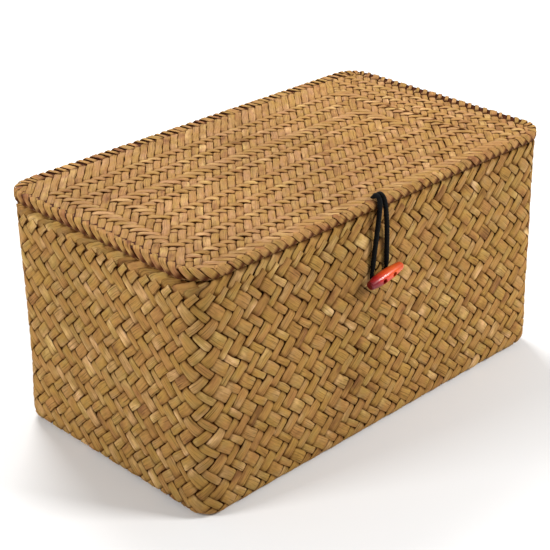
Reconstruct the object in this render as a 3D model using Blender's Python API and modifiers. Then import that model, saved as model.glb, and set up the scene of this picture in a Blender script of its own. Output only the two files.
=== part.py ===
"""A woven seagrass storage basket: a double-walled body, a hinged lid, an elastic closing loop and a
wooden toggle. Metres, +Z up. The origin is the middle of the basket's underside, the toggle faces -Y
and the lid's hinge line runs along X at the back."""

import math

import bmesh
import bpy
from mathutils import Matrix, Vector
from mathutils.geometry import interpolate_bezier

# Driving dimensions
LID_LENGTH = 0.320
LID_WIDTH = 0.182
LID_CORNER_RADIUS = 0.020
OVERALL_HEIGHT = 0.166
BODY_LENGTH = 0.315
BODY_WIDTH = 0.177
BODY_CORNER_RADIUS = 0.014
GAP = 0.0003

# Body: an outer weave, a lining weave inside it, and the fold that closes both at the rim
OUTER_WALL = 0.0022
LINING_WALL = 0.0018
BASE_EDGE_RADIUS = 0.006
WALL_TOP = 0.1500
RIM_ROUNDING = 0.0016

# Lid: two woven layers held in a folded border
BORDER_HEIGHT = 0.0080
BORDER_REACH = 0.0065
BORDER_LEG = 0.0010
BORDER_ROUNDING = 0.0024
BORDER_SKIN = 0.0012
LAYER_THICKNESS = 0.0025

# Hinge ties: two closed rings of cord round the hinge line
HINGE_Y = LID_WIDTH / 2
TIE_RING_RADIUS = 0.0046
TIE_CORD_RADIUS = 0.0009
TIE_HOLE_RADIUS = 0.0013
TIE_SPACING = 0.200

# Toggle, its thread and the closing loop
TOGGLE_CENTRE = Vector((-0.0093, -0.0957, 0.1147))
TOGGLE_TILT = math.radians(5)
TOGGLE_HOLE_SPACING = 0.0094
TOGGLE_HOLE_RADIUS = 0.0011
THREAD_RADIUS = 0.0005
THREAD_HOLE_RADIUS = 0.0009
LOOP_CORD_RADIUS = 0.00125
LOOP_HOLE_RADIUS = 0.0033
LOOP_HOLE_TOP = Vector((-0.0115, -0.0870, 0.1660))
LOOP_KNOT_CENTRE = Vector((-0.0115, -0.0790, 0.1535))

# Worked out from the above
LID_BOTTOM = OVERALL_HEIGHT - BORDER_HEIGHT
RIM_TOP = LID_BOTTOM - GAP
HINGE_Z = LID_BOTTOM - GAP / 2
WALL_DEPTH = OUTER_WALL + GAP + LINING_WALL
HINGE_POINT = Vector((0, HINGE_Y, HINGE_Z))
LOOP_SWING_POINT = Vector((-0.0095, -LID_WIDTH / 2, LID_BOTTOM + BORDER_HEIGHT / 2))

COLOURS = {
    "body_weave": ((0.40, 0.26, 0.11), 0.75),
    "lining_weave": ((0.36, 0.24, 0.11), 0.80),
    "lid_weave": ((0.50, 0.31, 0.15), 0.75),
    "border_weave": ((0.45, 0.25, 0.11), 0.72),
    "black_cord": ((0.012, 0.012, 0.014), 0.85),
    "toggle_lacquer": ((0.55, 0.05, 0.02), 0.18),
    "dark_thread": ((0.02, 0.015, 0.012), 0.80),
}


def clear_scene():
    for obj in list(bpy.data.objects):
        bpy.data.objects.remove(obj, do_unlink=True)


def new_collection(name):
    collection = bpy.data.collections.new(name)
    bpy.context.scene.collection.children.link(collection)
    return collection


def new_material(name):
    colour, roughness = COLOURS[name]
    material = bpy.data.materials.new(name)
    material.use_nodes = True
    shader = material.node_tree.nodes["Principled BSDF"]
    shader.inputs["Base Color"].default_value = (*colour, 1)
    shader.inputs["Roughness"].default_value = roughness
    shader.inputs["Metallic"].default_value = 0
    return material


def new_object(name, data, material, pivot=(0, 0, 0)):
    """An object in the basket collection, modelled in the part's frame and set on its pivot."""
    data.transform(Matrix.Translation(-Vector(pivot)))
    obj = bpy.data.objects.new(name, data)
    obj.location = pivot
    data.materials.append(materials[material])
    basket.objects.link(obj)
    return obj


def new_cutter(name, data):
    obj = bpy.data.objects.new(name, data)
    obj.hide_render = True
    obj.display_type = "WIRE"
    cutters.objects.link(obj)
    return obj


def mesh_from(name, shape):
    mesh = bpy.data.meshes.new(name)
    shape.to_mesh(mesh)
    shape.free()
    return mesh


def rounded_box(name, length, width, low, high, corner_radius, base_radius=0.0, open_top=False):
    """A box standing on z = low with rounded upright edges, and a rounded edge round its base."""
    shape = bmesh.new()
    bmesh.ops.create_cube(shape, size=1)
    bmesh.ops.scale(shape, vec=(length, width, high - low), verts=shape.verts)
    bmesh.ops.translate(shape, vec=(0, 0, (high + low) / 2), verts=shape.verts)
    upright = [e for e in shape.edges if abs(e.verts[0].co.z - e.verts[1].co.z) > (high - low) / 2]
    bmesh.ops.bevel(shape, geom=upright, offset=corner_radius, segments=8, profile=0.5, affect="EDGES")
    if base_radius:
        base = min(shape.faces, key=lambda face: face.calc_center_median().z)
        bmesh.ops.bevel(
            shape, geom=list(base.edges), offset=base_radius, segments=4, profile=0.5, affect="EDGES"
        )
    if open_top:
        top = max(shape.faces, key=lambda face: face.calc_center_median().z)
        bmesh.ops.delete(shape, geom=[top], context="FACES_ONLY")
    return mesh_from(name, shape)


def rod(name, start, end, radius, sides=24):
    """A cylinder from start to end."""
    start, end = Vector(start), Vector(end)
    shape = bmesh.new()
    bmesh.ops.create_cone(
        shape,
        cap_ends=True,
        segments=sides,
        radius1=radius,
        radius2=radius,
        depth=(end - start).length,
    )
    turn = Vector((0, 0, 1)).rotation_difference(end - start).to_matrix().to_4x4()
    bmesh.ops.transform(shape, matrix=Matrix.Translation((start + end) / 2) @ turn, verts=shape.verts)
    return mesh_from(name, shape)


def ring(name, centre, axis, major_radius, minor_radius):
    """A torus mesh round an axis, closed on itself."""
    bpy.ops.mesh.primitive_torus_add(
        major_segments=32, minor_segments=10, major_radius=major_radius, minor_radius=minor_radius
    )
    made = bpy.context.object
    mesh = made.data
    bpy.data.objects.remove(made)
    mesh.name = name
    turn = Vector((0, 0, 1)).rotation_difference(Vector(axis)).to_matrix().to_4x4()
    mesh.transform(Matrix.Translation(centre) @ turn)
    return mesh


def cut(obj, *tools):
    for tool in tools:
        modifier = obj.modifiers.new("cut_" + tool.name, "BOOLEAN")
        modifier.operation = "DIFFERENCE"
        modifier.solver = "EXACT"
        modifier.object = tool


def round_edges(obj, width, segments=3):
    modifier = obj.modifiers.new("rounded_edges", "BEVEL")
    modifier.width = width
    modifier.segments = segments
    modifier.limit_method = "ANGLE"
    modifier.angle_limit = math.radians(60)


def thicken(obj, thickness):
    """Solidify an open shell inwards, leaving its outside where it is."""
    modifier = obj.modifiers.new("wall", "SOLIDIFY")
    modifier.thickness = thickness
    modifier.offset = -1
    modifier.use_even_offset = True


def smooth_curve(route, spacing):
    """Evenly spaced points on a smooth curve through the route's points."""
    last = len(route) - 1
    fine = []
    for i in range(last):
        lead_in = (route[i + 1] - route[max(i - 1, 0)]) / 6
        lead_out = (route[min(i + 2, last)] - route[i]) / 6
        part = interpolate_bezier(route[i], route[i] + lead_in, route[i + 1] - lead_out, route[i + 1], 30)
        fine += part[:-1]
    fine.append(route[-1])
    lengths = [0.0]
    for a, b in zip(fine, fine[1:]):
        lengths.append(lengths[-1] + (b - a).length)
    count = round(lengths[-1] / spacing)
    points, at = [], 0
    for step in range(count + 1):
        wanted = lengths[-1] * step / count
        while at < len(fine) - 2 and lengths[at + 1] < wanted:
            at += 1
        share = (wanted - lengths[at]) / (lengths[at + 1] - lengths[at])
        points.append(fine[at].lerp(fine[at + 1], min(share, 1)))
    return points


def cord(name, points, radius, material, pivot=(0, 0, 0)):
    """A round cord with closed ends along the points."""
    curve = bpy.data.curves.new(name, "CURVE")
    curve.dimensions = "3D"
    curve.bevel_depth = radius
    curve.bevel_resolution = 2
    curve.use_fill_caps = True
    line = curve.splines.new("POLY")
    line.points.add(len(points) - 1)
    for point, place in zip(line.points, points):
        point.co = (*place, 1)
    return new_object(name, curve, material, pivot)


def toggle_point(along, forward=0.0):
    """A point in the part's frame, along the toggle's own length and forward of its middle."""
    return TOGGLE_CENTRE + Vector(
        (along * math.cos(TOGGLE_TILT), -forward, along * math.sin(TOGGLE_TILT))
    )


def make_cutters():
    """The holes for the ties, the toggle's thread and the closing loop."""
    ties = [
        new_cutter(
            f"tie_hole_{side}",
            ring(f"tie_hole_{side}", (x, HINGE_Y, HINGE_Z), (1, 0, 0), TIE_RING_RADIUS, TIE_HOLE_RADIUS),
        )
        for side, x in (("left", -TIE_SPACING / 2), ("right", TIE_SPACING / 2))
    ]
    slant = (LOOP_HOLE_TOP - LOOP_KNOT_CENTRE).normalized()
    loop_hole = new_cutter(
        "loop_hole",
        rod("loop_hole", LOOP_KNOT_CENTRE, LOOP_HOLE_TOP + slant * 0.004, LOOP_HOLE_RADIUS),
    )
    inner_face = -BODY_WIDTH / 2 + WALL_DEPTH
    threads = []
    drilled = []
    for number, side in enumerate((-1, 1), 1):
        hole = toggle_point(side * TOGGLE_HOLE_SPACING / 2)
        outside = Vector((hole.x, -BODY_WIDTH / 2 - 0.002, hole.z))
        inside = Vector((hole.x, inner_face + 0.002, hole.z))
        threads.append(
            new_cutter(
                f"thread_hole_{number}", rod("thread_hole", outside, inside, THREAD_HOLE_RADIUS, 16)
            )
        )
        front = hole + Vector((0, -0.006, 0))
        back = hole + Vector((0, 0.006, 0))
        drilled.append(
            new_cutter(f"toggle_hole_{number}", rod("toggle_hole", front, back, TOGGLE_HOLE_RADIUS, 16))
        )
    return ties, loop_hole, threads, drilled


def make_body(ties, threads):
    outer = new_object(
        "body_outer_weave",
        rounded_box(
            "body_outer_weave",
            BODY_LENGTH,
            BODY_WIDTH,
            0,
            WALL_TOP,
            BODY_CORNER_RADIUS,
            BASE_EDGE_RADIUS,
            open_top=True,
        ),
        "body_weave",
    )
    thicken(outer, OUTER_WALL)
    cut(outer, *threads)

    inset = OUTER_WALL + GAP
    lining = new_object(
        "body_lining_weave",
        rounded_box(
            "body_lining_weave",
            BODY_LENGTH - 2 * inset,
            BODY_WIDTH - 2 * inset,
            inset,
            WALL_TOP,
            BODY_CORNER_RADIUS - inset,
            BASE_EDGE_RADIUS - inset,
            open_top=True,
        ),
        "lining_weave",
    )
    thicken(lining, LINING_WALL)
    cut(lining, *threads)

    rim = new_object(
        "body_rim_fold",
        rounded_box(
            "body_rim_fold", BODY_LENGTH, BODY_WIDTH, WALL_TOP + GAP, RIM_TOP, BODY_CORNER_RADIUS
        ),
        "body_weave",
    )
    mouth = new_cutter(
        "mouth",
        rounded_box(
            "mouth",
            BODY_LENGTH - 2 * WALL_DEPTH,
            BODY_WIDTH - 2 * WALL_DEPTH,
            WALL_TOP - 0.005,
            RIM_TOP + 0.005,
            BODY_CORNER_RADIUS - WALL_DEPTH,
        ),
    )
    cut(rim, mouth)
    round_edges(rim, RIM_ROUNDING)
    cut(rim, *ties)


def make_lid(hinge, ties, loop_hole):
    """The border is a channel folded over the edges of the two woven layers."""
    border = new_object(
        "lid_border_fold",
        rounded_box(
            "lid_border_fold", LID_LENGTH, LID_WIDTH, LID_BOTTOM, OVERALL_HEIGHT, LID_CORNER_RADIUS
        ),
        "border_weave",
        HINGE_POINT,
    )
    round_edges(border, BORDER_ROUNDING)
    channel = new_cutter(
        "channel",
        rounded_box(
            "channel",
            LID_LENGTH - 2 * BORDER_SKIN,
            LID_WIDTH - 2 * BORDER_SKIN,
            LID_BOTTOM + BORDER_LEG,
            OVERALL_HEIGHT - BORDER_LEG,
            LID_CORNER_RADIUS - BORDER_SKIN,
        ),
    )
    window = new_cutter(
        "window",
        rounded_box(
            "window",
            LID_LENGTH - 2 * BORDER_REACH,
            LID_WIDTH - 2 * BORDER_REACH,
            LID_BOTTOM - 0.005,
            OVERALL_HEIGHT + 0.005,
            LID_CORNER_RADIUS - BORDER_REACH,
        ),
    )
    cut(border, channel, window, loop_hole, *ties)
    pieces = [border]

    layer_inset = BORDER_SKIN + BORDER_ROUNDING / 2
    underside = LID_BOTTOM + BORDER_LEG + GAP
    for name, material, low in (
        ("lid_underside_weave", "lining_weave", underside),
        ("lid_top_weave", "lid_weave", underside + LAYER_THICKNESS + GAP),
    ):
        layer = new_object(
            name,
            rounded_box(
                name,
                LID_LENGTH - 2 * layer_inset,
                LID_WIDTH - 2 * layer_inset,
                low,
                low + LAYER_THICKNESS,
                LID_CORNER_RADIUS - layer_inset,
            ),
            material,
            HINGE_POINT,
        )
        cut(layer, loop_hole, *ties)
        pieces.append(layer)
    for piece in pieces:
        hang_on(piece, hinge)


def hang_on(piece, empty):
    """Parent a piece to the empty on its joint's axis, leaving it where it is."""
    piece.parent = empty
    piece.matrix_parent_inverse = Matrix.Translation(-empty.location)


def make_hinge_ties():
    for side, x in (("left", -TIE_SPACING / 2), ("right", TIE_SPACING / 2)):
        name = f"hinge_tie_{side}"
        centre = (x, HINGE_Y, HINGE_Z)
        mesh = ring(name, centre, (1, 0, 0), TIE_RING_RADIUS, TIE_CORD_RADIUS)
        tie = new_object(name, mesh, "black_cord", centre)
        tie.data.shade_smooth()


def loop_route():
    """From one end below the lid, up through its hole, round behind the toggle and back down the hole."""
    left = [
        (-0.0129, -0.0762, 0.1490),
        (-0.0130, -0.0790, 0.1535),
        (-0.0130, -0.0832, 0.1600),
        (-0.0131, -0.0868, 0.1656),
        (-0.0132, -0.0895, 0.1681),
        (-0.0132, -0.0920, 0.1665),
        (-0.0130, -0.0926, 0.1620),
        (-0.0131, -0.0922, 0.1550),
        (-0.0138, -0.0912, 0.1420),
        (-0.0147, -0.0902, 0.1280),
        (-0.0158, -0.0900, 0.1160),
        (-0.0153, -0.0900, 0.1126),
        (-0.0128, -0.0900, 0.1112),
        (-0.0092, -0.0900, 0.1110),
    ]
    right = [
        (-0.0058, -0.0900, 0.1113),
        (-0.0031, -0.0900, 0.1128),
        (-0.0027, -0.0900, 0.1165),
        (-0.0031, -0.0902, 0.1280),
        (-0.0044, -0.0912, 0.1420),
        (-0.0066, -0.0922, 0.1550),
        (-0.0083, -0.0926, 0.1620),
        (-0.0094, -0.0920, 0.1665),
        (-0.0099, -0.0895, 0.1681),
        (-0.0101, -0.0868, 0.1656),
        (-0.0101, -0.0832, 0.1600),
        (-0.0101, -0.0790, 0.1535),
        (-0.0103, -0.0762, 0.1490),
    ]
    return [Vector(point) for point in left + right]


def make_closing_loop(hinge):
    swing = bpy.data.objects.new("loop_swing_axis", None)
    swing.location = LOOP_SWING_POINT
    basket.objects.link(swing)
    loop = cord(
        "closing_loop",
        smooth_curve(loop_route(), 0.0026),
        LOOP_CORD_RADIUS,
        "black_cord",
        LOOP_SWING_POINT,
    )
    hang_on(loop, swing)
    slant = (LOOP_HOLE_TOP - LOOP_KNOT_CENTRE).normalized()
    collar = new_object(
        "closing_loop_knot",
        rod(
            "closing_loop_knot",
            LOOP_KNOT_CENTRE - slant * 0.0024,
            LOOP_KNOT_CENTRE + slant * 0.0024,
            0.0048,
            20,
        ),
        "black_cord",
        HINGE_POINT,
    )
    bore = new_cutter(
        "knot_bore",
        rod("knot_bore", LOOP_KNOT_CENTRE - slant * 0.006, LOOP_KNOT_CENTRE + slant * 0.006, 0.0031),
    )
    cut(collar, bore)
    round_edges(collar, 0.0007, 2)
    hang_on(collar, hinge)
    swing.parent = hinge
    swing.matrix_parent_inverse = Matrix.Translation(-hinge.location)


def toggle_profile():
    """Half the toggle's outline, from its flat cut end to its rounded end: (along, radius)."""
    cut_end, thickest, nose, tip = -0.0150, -0.0030, 0.0120, 0.0155
    outline = [(cut_end, 0.0), (cut_end, 0.0030), (cut_end + 0.0004, 0.0034)]
    steps = 9
    for i in range(1, steps + 1):
        along = cut_end + 0.0004 + (nose - cut_end - 0.0004) * i / steps
        end, end_radius = (cut_end, 0.0034) if along < thickest else (nose, 0.0030)
        away = (along - thickest) / (end - thickest)
        outline.append((along, 0.0041 - (0.0041 - end_radius) * away**2))
    for i in range(1, 5):
        turn = math.pi / 2 * i / 5
        outline.append((nose + (tip - nose) * math.sin(turn), 0.0030 * math.cos(turn)))
    outline.append((tip, 0.0))
    return outline


def make_toggle(drilled):
    shape = bmesh.new()
    verts = [shape.verts.new((along, 0, radius)) for along, radius in toggle_profile()]
    for a, b in zip(verts, verts[1:]):
        shape.edges.new((a, b))
    turned = mesh_from("toggle", shape)
    turned.transform(Matrix.Translation(TOGGLE_CENTRE))
    toggle = new_object("toggle", turned, "toggle_lacquer", TOGGLE_CENTRE)
    spin = toggle.modifiers.new("turned", "SCREW")
    spin.axis = "X"
    spin.angle = math.tau
    spin.steps = 28
    spin.render_steps = 28
    spin.use_merge_vertices = True
    spin.merge_threshold = 0.00001
    toggle.rotation_euler = (0, -TOGGLE_TILT, 0)
    cut(toggle, *drilled)

    inner_face = -BODY_WIDTH / 2 + WALL_DEPTH
    first = toggle_point(-TOGGLE_HOLE_SPACING / 2)
    second = toggle_point(TOGGLE_HOLE_SPACING / 2)
    start = first + Vector((0, -0.0026, 0))
    end = second + Vector((0, -0.0026, 0))
    turn_in = Vector((0.0010, 0, 0))
    route = [
        start,
        first,
        Vector((first.x, -BODY_WIDTH / 2, first.z)),
        Vector((first.x, inner_face, first.z)),
        Vector((first.x, inner_face + 0.0008, first.z)) + turn_in,
        Vector((second.x, inner_face + 0.0008, second.z)) - turn_in,
        Vector((second.x, inner_face, second.z)),
        Vector((second.x, -BODY_WIDTH / 2, second.z)),
        second,
        end,
    ]
    cord("toggle_thread", smooth_curve(route, 0.0010), THREAD_RADIUS, "dark_thread", TOGGLE_CENTRE)


clear_scene()
basket = new_collection("wicker_basket")
cutters = new_collection("cutters")
materials = {name: new_material(name) for name in COLOURS}
tie_holes, loop_hole, thread_holes, toggle_holes = make_cutters()
hinge_axis = bpy.data.objects.new("lid_hinge_axis", None)
hinge_axis.location = HINGE_POINT
basket.objects.link(hinge_axis)
make_body(tie_holes, thread_holes)
make_lid(hinge_axis, tie_holes, loop_hole)
make_hinge_ties()
make_closing_loop(hinge_axis)
make_toggle(toggle_holes)
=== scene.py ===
"""Looks of the woven seagrass basket. Every strip of the weave is its own closed strip of mesh, laid over
and under its neighbours on the surfaces that the CAD solids hold. Metres, in the CAD model's frame."""

import math

import bpy
import numpy as np
from mathutils import Matrix, Vector
from mathutils.geometry import interpolate_bezier


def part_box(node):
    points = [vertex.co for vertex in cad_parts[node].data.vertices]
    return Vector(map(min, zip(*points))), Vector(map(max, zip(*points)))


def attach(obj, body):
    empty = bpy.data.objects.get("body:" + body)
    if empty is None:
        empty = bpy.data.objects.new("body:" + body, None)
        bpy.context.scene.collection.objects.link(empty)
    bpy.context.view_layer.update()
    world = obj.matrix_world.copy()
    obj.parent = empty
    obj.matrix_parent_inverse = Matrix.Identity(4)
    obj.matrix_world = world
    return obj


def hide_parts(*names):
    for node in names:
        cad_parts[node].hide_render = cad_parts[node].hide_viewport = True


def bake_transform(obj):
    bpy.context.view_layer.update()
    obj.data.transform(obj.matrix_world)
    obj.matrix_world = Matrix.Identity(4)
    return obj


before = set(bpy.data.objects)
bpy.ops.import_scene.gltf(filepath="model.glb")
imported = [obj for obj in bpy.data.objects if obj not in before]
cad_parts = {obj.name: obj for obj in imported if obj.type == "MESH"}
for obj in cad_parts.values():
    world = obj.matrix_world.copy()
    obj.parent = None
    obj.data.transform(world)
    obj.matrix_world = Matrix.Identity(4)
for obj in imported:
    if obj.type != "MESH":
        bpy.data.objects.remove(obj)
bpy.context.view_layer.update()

MM = 0.001

# Places read from the CAD solids
BODY_LOW, BODY_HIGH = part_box("body_outer_weave")
LINING_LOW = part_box("body_lining_weave")[0]
RIM_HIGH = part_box("body_rim_fold")[1]
BORDER_LOW, BORDER_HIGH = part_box("lid_border_fold")
LID_TOP_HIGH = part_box("lid_top_weave")[1]
UNDERSIDE_LOW, UNDERSIDE_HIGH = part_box("lid_underside_weave")
TOGGLE_LOW, TOGGLE_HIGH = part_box("toggle")
BODY_CORNER_RADIUS = 14 * MM
LID_CORNER_RADIUS = 20 * MM
BASE_EDGE_RADIUS = 6 * MM
WALL_DEPTH = 4.3 * MM

# The strips
STRIP = 0.75 * MM
RELIEF = 0.80 * MM
# How far the middle of the wall's outer weave lies inside the wall's outer face
SINK = 1.15 * MM
INNER_RELIEF = 0.34 * MM
STRANDS_ROUND = 98
WALL_SQUEEZE = 0.924
FIRST_ROW = 5.74 * MM
# Every other strand is broader and lies higher: how much, for rising and falling strands
UNEVEN = (0.14, -0.24)
PROUD = 0.10 * MM

# A strip's cross-section: how far across, from -1 to 1, and how high, in strip thicknesses
STRIP_PROFILE = np.array(((-1, -0.42), (-0.84, 0.30), (0, 0.5), (0.84, 0.30), (1, -0.42), (0, -0.5)))


# ---------------------------------------------------------------- surfaces


class Outline:
    """A rounded rectangle walked round to the right, as seen from outside, from the front's left end."""

    def __init__(self, half_x, half_y, radius):
        self.halves = (half_x, half_y)
        self.radius = radius
        self.arc = radius * math.pi / 2
        self.straights = [2 * (half_x - radius), 2 * (half_y - radius)] * 2
        self.length = sum(self.straights) + 4 * self.arc
        self.corners = [sum(self.straights[: k + 1]) + (k + 0.5) * self.arc for k in range(4)]

    def at(self, s):
        """Points and outward directions, as (x, y, outward x, outward y)."""
        s = np.mod(s, self.length)
        x, y, out_x, out_y = (np.zeros_like(s) for _ in range(4))
        start = 0.0
        for side in range(4):
            along = np.array((math.cos(side * math.pi / 2), math.sin(side * math.pi / 2)))
            out = np.array((along[1], -along[0]))
            half_along, half_out = self.halves[side % 2], self.halves[1 - side % 2]
            here = (s >= start) & (s < start + self.straights[side] + self.arc)
            run = s - start
            turn = np.clip((run - self.straights[side]) / self.radius, 0, math.pi / 2)
            run = np.minimum(run, self.straights[side]) - (half_along - self.radius)
            reach = half_out - self.radius
            normal_x = out[0] * np.cos(turn) + along[0] * np.sin(turn)
            normal_y = out[1] * np.cos(turn) + along[1] * np.sin(turn)
            x = np.where(here, along[0] * run + out[0] * reach + normal_x * self.radius, x)
            y = np.where(here, along[1] * run + out[1] * reach + normal_y * self.radius, y)
            out_x = np.where(here, normal_x, out_x)
            out_y = np.where(here, normal_y, out_y)
            start += self.straights[side] + self.arc
        return x, y, out_x, out_y


class Section:
    """A path seen in a cut through a wall, of straights and arcs. Its right-hand side faces the viewer.
    Each piece is (length, left turn in radians)."""

    def __init__(self, out, z, heading, pieces):
        self.parts = []
        t = 0.0
        for length, turn in pieces:
            bend = turn / length
            self.parts.append((t, out, z, heading, bend))
            out, z = self.step(out, z, heading, bend, length)
            heading += turn
            t += length
        self.length = t

    @staticmethod
    def step(out, z, heading, bend, run):
        if abs(bend) < 1e-9:
            return out + math.cos(heading) * run, z + math.sin(heading) * run
        return (
            out + (np.sin(heading + bend * run) - math.sin(heading)) / bend,
            z - (np.cos(heading + bend * run) - math.cos(heading)) / bend,
        )

    def at(self, t):
        """(out, z, facing out, facing z) at t along the path; it runs straight on past its ends."""
        out, z, heading = (np.zeros_like(t) for _ in range(3))
        for number, (start, out0, z0, heading0, bend) in enumerate(self.parts):
            here = t >= start if number else np.full(t.shape, True)
            run = t - start
            out1, z1 = self.step(out0, z0, heading0, bend, run)
            out = np.where(here, out1, out)
            z = np.where(here, z1, z)
            heading = np.where(here, heading0 + bend * run, heading)
        return out, z, np.sin(heading), -np.cos(heading)


def swept(outline, section, wobble=None):
    """A surface that sweeps a section round an outline: (s, t, off the surface) to points."""

    def surface(s, t, off):
        x, y, out_x, out_y = outline.at(s)
        out, z, face_out, face_z = section.at(t)
        reach = out + face_out * off
        if wobble:
            reach = reach + wobble(np.mod(s, outline.length), z)
        return np.stack((x + out_x * reach, y + out_y * reach, z + face_z * off), axis=-1)

    return surface


def flat(z, facing, sag=None):
    """A level surface facing up (1) or down (-1)."""

    def surface(s, t, off):
        height = z + facing * off
        if sag:
            height = height + sag(s, facing * t)
        return np.stack((s, facing * t, height + 0 * s), axis=-1)

    return surface


def smooth_step(x):
    x = np.clip(x, 0, 1)
    return x * x * (3 - 2 * x)


# ---------------------------------------------------------------- strips


class Bundle:
    """Closed strips gathered into one mesh. Each point knows how far along and across its strip it is,
    its strip's number from 0 to 1, and how much light it gets."""

    def __init__(self):
        self.points, self.faces, self.strand, self.shade = [], [], [], []
        self.count = 0

    def add(self, points, along, across, number, shade):
        """A loft of closed rings of points, with ends capped by the ring's own quads."""
        sections, around = points.shape[:2]
        first = self.count + np.arange(sections * around).reshape(sections, around)
        here, on = first, np.roll(first, -1, axis=1)
        sides = np.stack((here[:-1], on[:-1], on[1:], here[1:]), axis=-1).reshape(-1, 4)
        caps = []
        for k in range(1, around // 2):
            ring = (k - 1, k, around - k - 1, (around - k) % around)
            caps.append(first[0, ring[::-1]])
            caps.append(first[-1, ring])
        self.faces += [sides, np.array(caps)]
        self.points.append(points.reshape(-1, 3))
        strand = np.stack((along + 0 * across, across + 0 * along, number + 0 * along * across), axis=-1)
        self.strand.append(strand.reshape(-1, 3))
        self.shade.append((shade + 0 * along * across).reshape(-1))
        self.count += sections * around

    def band(self, outline, insets, levels, shade=0.1):
        """A plain closed band between two insets and two levels: a dark sheet of painted shade between two
        layers.
        """
        s = np.linspace(0, outline.length, 97)[:-1]
        x, y, out_x, out_y = outline.at(s)
        (near, deep), (low, high) = insets, levels
        ring = [(near, low), (near, high), (deep, high), (deep, low)]
        points = np.stack(
            [np.stack((x - out_x * d, y - out_y * d, 0 * x + z), axis=-1) for d, z in ring], axis=1
        )
        count = len(s)
        first = self.count + np.arange(count * 4).reshape(count, 4)
        on = np.roll(first, -1, axis=1)
        after, after_on = np.roll(first, -1, axis=0), np.roll(on, -1, axis=0)
        self.faces.append(np.stack((first, after, after_on, on), axis=-1).reshape(-1, 4))
        self.plain(points.reshape(-1, 3), shade)

    def slab(self, half_x, half_y, low, high, shade=0.1):
        """A plain closed slab, dark: painted shade between two layers."""
        corners = [(x, y, z) for z in (low, high) for x, y in ((-1, -1), (1, -1), (1, 1), (-1, 1))]
        points = np.array([(x * half_x, y * half_y, z) for x, y, z in corners])
        quads = [(3, 2, 1, 0), (4, 5, 6, 7)] + [(k, (k + 1) % 4, (k + 1) % 4 + 4, k + 4) for k in range(4)]
        self.faces.append(self.count + np.array(quads))
        self.plain(points, shade)

    def plain(self, points, shade):
        self.points.append(points)
        self.strand.append(np.zeros_like(points))
        self.shade.append(np.full(len(points), shade))
        self.count += len(points)

    def piece(self, name, material):
        """The bundle as a piece that rides on nothing yet."""
        points, faces = np.concatenate(self.points), np.concatenate(self.faces)
        mesh = bpy.data.meshes.new(name)
        mesh.vertices.add(len(points))
        mesh.vertices.foreach_set("co", points.astype(np.float32).ravel())
        mesh.loops.add(faces.size)
        mesh.loops.foreach_set("vertex_index", faces.astype(np.int32).ravel())
        mesh.polygons.add(len(faces))
        mesh.polygons.foreach_set("loop_start", np.arange(0, faces.size, 4, dtype=np.int32))
        mesh.update(calc_edges=True)
        strand = mesh.attributes.new("strand", "FLOAT_VECTOR", "POINT")
        strand.data.foreach_set("vector", np.concatenate(self.strand).astype(np.float32).ravel())
        shade = mesh.attributes.new("shade", "FLOAT", "POINT")
        shade.data.foreach_set("value", np.concatenate(self.shade).astype(np.float32))
        mesh.shade_smooth()
        return new_piece(name, mesh, material)

    def make(self, name, material, body, slot, *nodes):
        """The bundle as a piece with sharp edges that rides on a body and stands for CAD nodes."""
        obj = self.piece(name, material)
        obj.data.set_sharp_from_angle(angle=math.radians(50))
        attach(obj, body)
        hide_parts(*nodes)


def make_pair(bundles, name, materials, *place):
    """A weave's rising and falling strands as two pieces."""
    for way, bundle, material in zip(("rising", "falling"), bundles, materials):
        bundle.make(f"{name}_{way}", material, *place)


def new_piece(name, data, material):
    obj = bpy.data.objects.new(name, data)
    data.materials.append(material)
    bpy.context.scene.collection.objects.link(obj)
    return obj


def lay_strip(bundle, surface, s, t, half, height, tilt, shade, number, thick=STRIP):
    """One strip along a centre line on a surface. A positive tilt lifts its left edge."""
    along_s, along_t = np.gradient(s), np.gradient(t)
    step = np.hypot(along_s, along_t)
    across = STRIP_PROFILE[:, 0][None, :]
    side_s, side_t = (along_t / step)[:, None], (-along_s / step)[:, None]
    half, height = half[:, None], np.broadcast_to(height, s.shape)[:, None]
    tilt = np.broadcast_to(tilt, s.shape)[:, None]
    points = surface(
        s[:, None] + side_s * half * across,
        t[:, None] + side_t * half * across,
        height - tilt * across + STRIP_PROFILE[:, 1][None, :] * thick,
    )
    along = (np.cumsum(step) + number)[:, None]
    bundle.add(points, along, across, number, np.broadcast_to(shade, s.shape)[:, None])


def wander(rng, p, size, waves=(0.11, 0.27)):
    """A slow random drift along a strip."""
    total = 0 * p
    for wave in waves:
        total = total + np.sin(p * wave * 2 * math.pi + rng.uniform(0, 2 * math.pi)) * rng.uniform(0.4, 1)
    return total * size / len(waves)


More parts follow.
